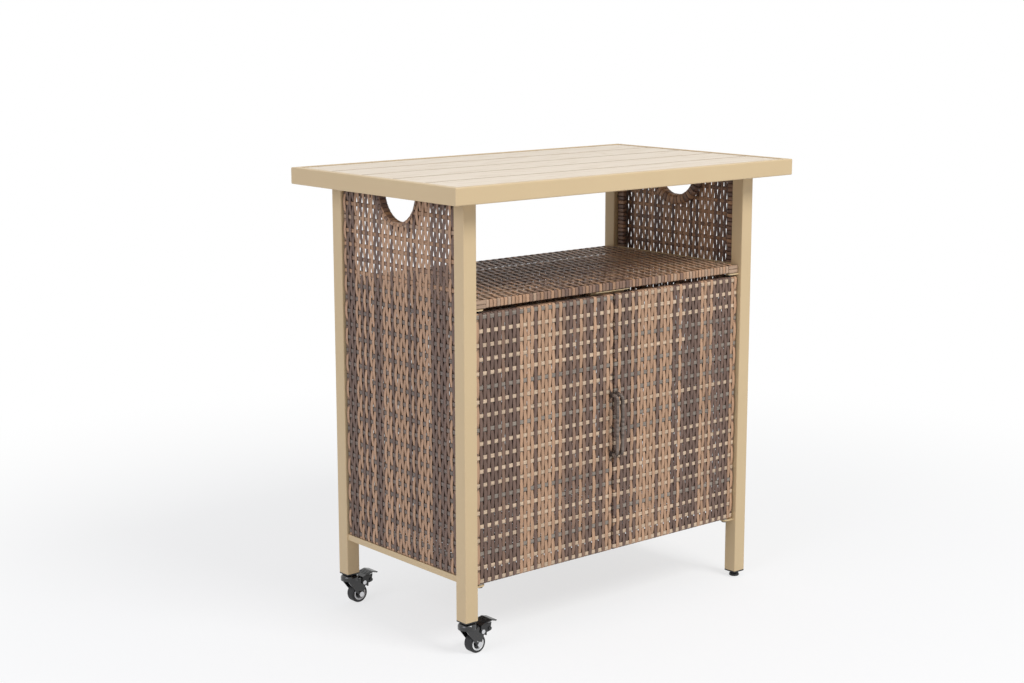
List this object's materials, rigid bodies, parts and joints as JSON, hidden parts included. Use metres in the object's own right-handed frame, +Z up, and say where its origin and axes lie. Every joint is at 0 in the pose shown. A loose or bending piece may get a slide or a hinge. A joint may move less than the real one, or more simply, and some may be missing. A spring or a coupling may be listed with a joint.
{
  "type": "grill cart with storage",
  "caption": "Rectangular outdoor cart with a plank top, an open bay with a shelf and a woven cupboard with two doors, on braked swivel casters and levelling feet.",
  "frame": {"origin": "on the floor, under the middle of the top", "axes": "+X along the top towards the end with the levelling feet, +Y from the doors to the back, +Z up"},
  "size_m": [0.89, 0.525, 0.9],
  "materials": {
    "powder_coat": "satin powder coat",
    "plank_finish": "matt wood-look coating",
    "wicker": "flat woven strands, mixed tans and browns",
    "handle_wrap": "strand wrapped round a steel bar",
    "inner_tube": "satin powder coat",
    "black_nylon": "matt",
    "pin_black": "black oxide",
    "zinc_steel": "zinc plated",
    "magnet_steel": "nickel plated",
    "fork_black": "gloss black",
    "pedal_black": "gloss",
    "chrome_trim": "polished",
    "tyre_rubber": "matt rubber",
    "hub_plastic": "gloss"
  },
  "bodies": {
    "root": {"back_frame": "inner_tube", "back_weave": "wicker", "bottom_rail_left": "powder_coat", "bottom_rail_right": "powder_coat", "caster_back_socket": "black_nylon", "caster_back_stem": "zinc_steel", "caster_front_socket": "black_nylon", "caster_front_stem": "zinc_steel", "cross_rails": "powder_coat", "door_stop": "powder_coat", "floor_frame": "inner_tube", "floor_weave": "wicker", "foot_back_plug": "black_nylon", "foot_front_plug": "black_nylon", "hinge_brackets": "powder_coat", "hinge_pins": "pin_black", "hinge_washers": "black_nylon", "leg_back_left": "powder_coat", "leg_back_right": "powder_coat", "leg_front_left": "powder_coat", "leg_front_right": "powder_coat", "panel_spacers": "black_nylon", "panel_studs": "zinc_steel", "plank_1": "plank_finish", "plank_2": "plank_finish", "plank_3": "plank_finish", "plank_4": "plank_finish", "plank_5": "plank_finish", "shelf_frame": "inner_tube", "shelf_ledges": "powder_coat", "shelf_weave": "wicker", "side_left_frame": "inner_tube", "side_left_weave": "wicker", "side_right_frame": "inner_tube", "side_right_weave": "wicker", "tabletop_frame": "powder_coat"},
    "fork_back": {"caster_back_axle": "chrome_trim", "caster_back_fork": "fork_black"},
    "wheel_back": {"caster_back_hub": "hub_plastic", "caster_back_tyre": "tyre_rubber"},
    "brake_back": {"caster_back_pedal": "pedal_black"},
    "fork_front": {"caster_front_axle": "chrome_trim", "caster_front_fork": "fork_black"},
    "wheel_front": {"caster_front_hub": "hub_plastic", "caster_front_tyre": "tyre_rubber"},
    "brake_front": {"caster_front_pedal": "pedal_black"},
    "door_left": {"door_left_bushings": "black_nylon", "door_left_frame": "inner_tube", "door_left_handle": "handle_wrap", "door_left_magnet": "magnet_steel", "door_left_weave": "wicker"},
    "door_right": {"door_right_bushings": "black_nylon", "door_right_frame": "inner_tube", "door_right_handle": "handle_wrap", "door_right_magnet": "magnet_steel", "door_right_weave": "wicker"},
    "foot_back_screw": {"foot_back": "black_nylon"},
    "foot_front_screw": {"foot_front": "black_nylon"}
  },
  "joints": [
    {"name": "door_left_hinge", "type": "hinge", "parent": "root", "child": "door_left", "pos_m": [-0.338, -0.1915, 0.133], "axis": [0, 0, -1], "range_deg": [0, 105]},
    {"name": "door_right_hinge", "type": "hinge", "parent": "root", "child": "door_right", "pos_m": [0.338, -0.1915, 0.133], "axis": [0, 0, 1], "range_deg": [0, 105]},
    {"name": "caster_front_swivel", "type": "hinge", "parent": "root", "child": "fork_front", "pos_m": [-0.37, -0.1935, 0.06], "axis": [0, 0, 1], "continuous": true},
    {"name": "wheel_front_spin", "type": "hinge", "parent": "fork_front", "child": "wheel_front", "pos_m": [-0.352, -0.1935, 0.019], "axis": [0, 1, 0], "continuous": true},
    {"name": "brake_front_press", "type": "hinge", "parent": "fork_front", "child": "brake_front", "pos_m": [-0.3445, -0.1935, 0.043], "axis": [0, 1, 0], "range_deg": [0, 15]},
    {"name": "foot_front_level", "type": "slide", "parent": "root", "child": "foot_front_screw", "axis": [0, 0, -1], "range_m": [0, 0.012]},
    {"name": "caster_back_swivel", "type": "hinge", "parent": "root", "child": "fork_back", "pos_m": [-0.37, 0.1935, 0.06], "axis": [0, 0, 1], "continuous": true},
    {"name": "wheel_back_spin", "type": "hinge", "parent": "fork_back", "child": "wheel_back", "pos_m": [-0.352, 0.1935, 0.019], "axis": [0, 1, 0], "continuous": true},
    {"name": "brake_back_press", "type": "hinge", "parent": "fork_back", "child": "brake_back", "pos_m": [-0.3445, 0.1935, 0.043], "axis": [0, 1, 0], "range_deg": [0, 15]},
    {"name": "foot_back_level", "type": "slide", "parent": "root", "child": "foot_back_screw", "axis": [0, 0, -1], "range_m": [0, 0.012]}
  ]
}
